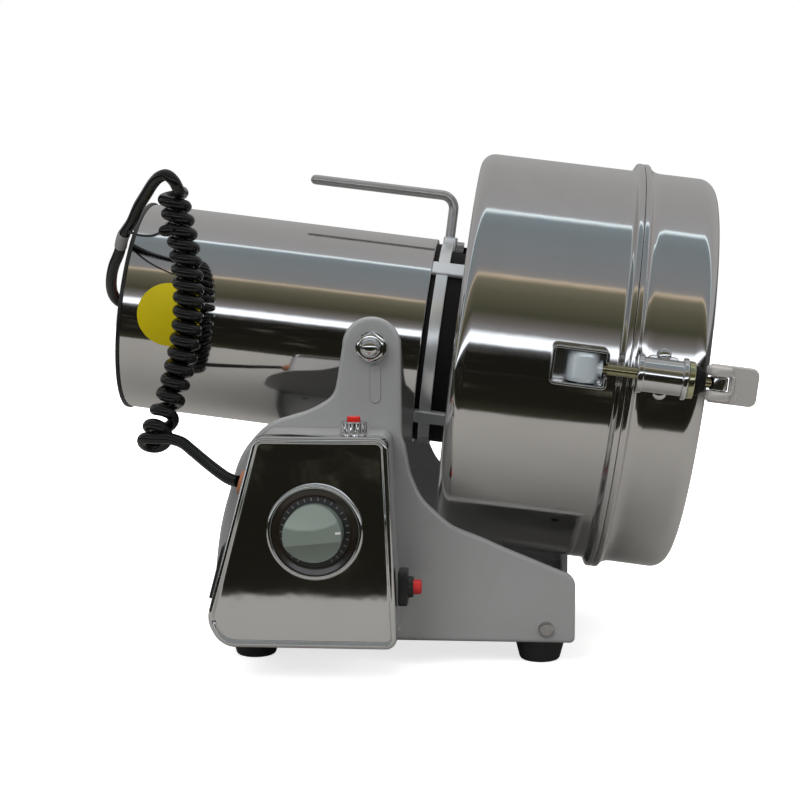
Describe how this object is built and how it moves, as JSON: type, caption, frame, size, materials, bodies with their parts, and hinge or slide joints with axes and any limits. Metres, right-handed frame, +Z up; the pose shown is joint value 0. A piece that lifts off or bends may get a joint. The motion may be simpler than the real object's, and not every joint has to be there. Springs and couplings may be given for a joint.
{
  "type": "electric herb grinder",
  "caption": "Swing-type electric herb grinder: motor, bowl and clamped lid on one axis, pivoted in a painted stand with timer box and curly lead.",
  "frame": {"origin": "centre of the bounding box in plan, on the plane of the feet", "axes": "+X from the motor towards the lid, -Y towards the control box, +Z up"},
  "size_m": [0.3856, 0.3041, 0.298],
  "materials": {
    "silver_paint": "satin silver-grey paint",
    "panel_steel": "bright polished sheet",
    "polished_steel": "mirror polished stainless steel",
    "cap_steel": "spun stainless sheet",
    "bright_chrome": "bright chrome",
    "bracket_steel": "polished weldment",
    "zinc_steel": "zinc plated",
    "cast_aluminium": "machined casting",
    "shaft_steel": "ground steel",
    "blade_steel": "ground stainless blade",
    "core_steel": "laminated sheet",
    "copper": "enamelled copper",
    "carbon": "carbon",
    "black_plastic": "black moulded plastic",
    "black_rubber": "black rubber",
    "lead_sheath": "black cord sheath",
    "brown_rubber": "brown rubber",
    "white_silicone": "white silicone",
    "knob_plastic": "grey-green moulded plastic",
    "red_lens": "clear red plastic",
    "red_plastic": "red moulded plastic"
  },
  "bodies": {
    "base": {"front_side_frame": "silver_paint", "rear_side_frame": "silver_paint", "base_pan": "silver_paint", "frame_screws": "zinc_steel", "rubber_feet": "black_rubber", "control_box": "silver_paint", "control_panel": "panel_steel", "timer_body": "black_plastic", "dial_bezel": "bright_chrome", "dial_plate": "black_plastic", "pilot_bezel": "bright_chrome", "pilot_lens": "red_lens", "breaker_body": "black_plastic", "power_inlet": "black_plastic", "lead_grommet": "brown_rubber", "motor_lead_tail": "lead_sheath", "motor_lead_curl": "lead_sheath", "motor_lead_riser": "lead_sheath"},
    "head": {"motor_shell": "polished_steel", "rear_trim_ring": "black_plastic", "motor_rear_cap": "cap_steel", "front_gasket": "black_rubber", "spacer_ring": "cast_aluminium", "bowl_gasket": "black_rubber", "handle_lock": "zinc_steel", "front_end_bell": "cast_aluminium", "rear_bearing_bracket": "cast_aluminium", "shaft_bearings": "shaft_steel", "stator_core": "core_steel", "stator_windings": "copper", "carbon_brushes": "carbon", "tie_screws": "zinc_steel", "bowl": "polished_steel", "shaft_seal": "black_rubber", "bowl_brackets": "bracket_steel", "lift_handle": "bright_chrome", "pivot_bosses": "bracket_steel", "pivot_bolts": "zinc_steel", "dome_nuts": "bright_chrome", "lead_gland": "brown_rubber"},
    "rotor": {"rotor_shaft": "shaft_steel", "armature": "core_steel", "commutator": "copper", "cooling_fan": "black_plastic", "lower_blade": "blade_steel", "upper_blade": "blade_steel", "blade_nut": "shaft_steel"},
    "lid": {"lid": "polished_steel", "lid_gasket": "white_silicone", "latch_saddles": "bracket_steel"},
    "front_clamp": {"front_clamp_block": "bright_chrome", "front_clamp_rod": "bright_chrome", "front_clamp_sleeve": "bright_chrome"},
    "rear_clamp": {"rear_clamp_block": "bright_chrome", "rear_clamp_rod": "bright_chrome", "rear_clamp_sleeve": "bright_chrome"},
    "front_lever": {"front_cam_lever": "bright_chrome"},
    "rear_lever": {"rear_cam_lever": "bright_chrome"},
    "knob": {"timer_knob": "knob_plastic"},
    "button": {"reset_button": "red_plastic"}
  },
  "joints": [
    {"name": "head_tilt", "type": "hinge", "parent": "base", "child": "head", "pos_m": [-0.02689, 0.00462, 0.186], "axis": [0, -1, 0], "range_deg": [0, 97], "deforming": ["motor_lead_tail", "motor_lead_curl", "motor_lead_riser"]},
    {"name": "rotor_spin", "type": "hinge", "parent": "head", "child": "rotor", "pos_m": [-0.02689, 0.00462, 0.186], "axis": [0.9925, 0, -0.1219], "continuous": true},
    {"name": "lid_lift", "type": "slide", "parent": "head", "child": "lid", "axis": [0.9925, 0, -0.1219], "range_m": [0, 0.06]},
    {"name": "front_clamp_swing", "type": "hinge", "parent": "head", "child": "front_clamp", "pos_m": [0.0922, -0.13137, 0.17944], "axis": [-0.1219, 0, -0.9925], "range_deg": [0, 120]},
    {"name": "rear_clamp_swing", "type": "hinge", "parent": "head", "child": "rear_clamp", "pos_m": [0.0922, 0.14062, 0.17944], "axis": [0.1219, 0, 0.9925], "range_deg": [0, 120]},
    {"name": "front_lever_turn", "type": "hinge", "parent": "front_clamp", "child": "front_lever", "pos_m": [0.16515, -0.13137, 0.17048], "axis": [-0.1219, 0, -0.9925], "range_deg": [0, 90]},
    {"name": "rear_lever_turn", "type": "hinge", "parent": "rear_clamp", "child": "rear_lever", "pos_m": [0.16515, 0.14062, 0.17048], "axis": [0.1219, 0, 0.9925], "range_deg": [0, 90]},
    {"name": "timer_knob_turn", "type": "hinge", "parent": "base", "child": "knob", "pos_m": [-0.05359, -0.14037, 0.0875], "axis": [0, 1, 0], "range_deg": [0, 300]},
    {"name": "reset_press", "type": "slide", "parent": "base", "child": "button", "axis": [-1, 0, 0], "range_m": [0, 0.0025], "stiffness_N_per_m": 400, "springref_m": -0.001}
  ],
  "couplings": [
    {"joint": "front_clamp_swing", "follows": "lid_lift", "rad_per_m": 34.906},
    {"joint": "rear_clamp_swing", "follows": "lid_lift", "rad_per_m": 34.906}
  ]
}
